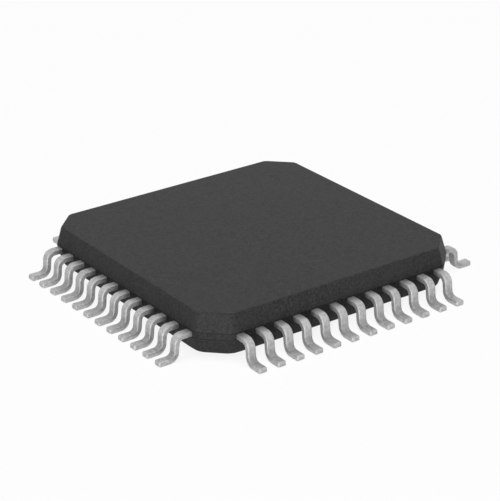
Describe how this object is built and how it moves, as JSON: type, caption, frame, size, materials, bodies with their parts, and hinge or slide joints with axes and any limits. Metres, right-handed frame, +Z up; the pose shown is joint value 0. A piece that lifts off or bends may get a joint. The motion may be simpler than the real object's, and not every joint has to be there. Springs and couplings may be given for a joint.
{
  "type": "thin quad flat pack chip with exposed pad",
  "caption": "Square moulded chip package with chamfered corners, gull-wing leads on all four sides and a bare thermal pad below.",
  "frame": {"origin": "centre of the seating plane, which the undersides of all feet lie in", "axes": "+Z up through the body, square to the seating plane; the four rows of leads face -X, -Y, +X and +Y"},
  "size_m": [0.0088, 0.0088, 0.0011],
  "materials": {
    "mould_compound": "matte, fine grain",
    "lead_metal": "matte tin plate",
    "pad_metal": "matte tin plate, softly mottled",
    "attach_resin": "satin, silver filled",
    "silicon": "polished",
    "wire_metal": "bright drawn wire"
  },
  "bodies": {
    "root": {"mould_body": "mould_compound", "die_pad": "pad_metal", "die_attach": "attach_resin", "silicon_die": "silicon", "bond_wires": "wire_metal", "lead_01": "lead_metal", "lead_02": "lead_metal", "lead_03": "lead_metal", "lead_04": "lead_metal", "lead_05": "lead_metal", "lead_06": "lead_metal", "lead_07": "lead_metal", "lead_08": "lead_metal", "lead_09": "lead_metal", "lead_10": "lead_metal", "lead_11": "lead_metal", "lead_12": "lead_metal", "lead_13": "lead_metal", "lead_14": "lead_metal", "lead_15": "lead_metal", "lead_16": "lead_metal", "lead_17": "lead_metal", "lead_18": "lead_metal", "lead_19": "lead_metal", "lead_20": "lead_metal", "lead_21": "lead_metal", "lead_22": "lead_metal", "lead_23": "lead_metal", "lead_24": "lead_metal", "lead_25": "lead_metal", "lead_26": "lead_metal", "lead_27": "lead_metal", "lead_28": "lead_metal", "lead_29": "lead_metal", "lead_30": "lead_metal", "lead_31": "lead_metal", "lead_32": "lead_metal", "lead_33": "lead_metal", "lead_34": "lead_metal", "lead_35": "lead_metal", "lead_36": "lead_metal", "lead_37": "lead_metal", "lead_38": "lead_metal", "lead_39": "lead_metal", "lead_40": "lead_metal", "lead_41": "lead_metal", "lead_42": "lead_metal", "lead_43": "lead_metal", "lead_44": "lead_metal", "lead_45": "lead_metal", "lead_46": "lead_metal", "lead_47": "lead_metal", "lead_48": "lead_metal"}
  },
  "joints": []
}
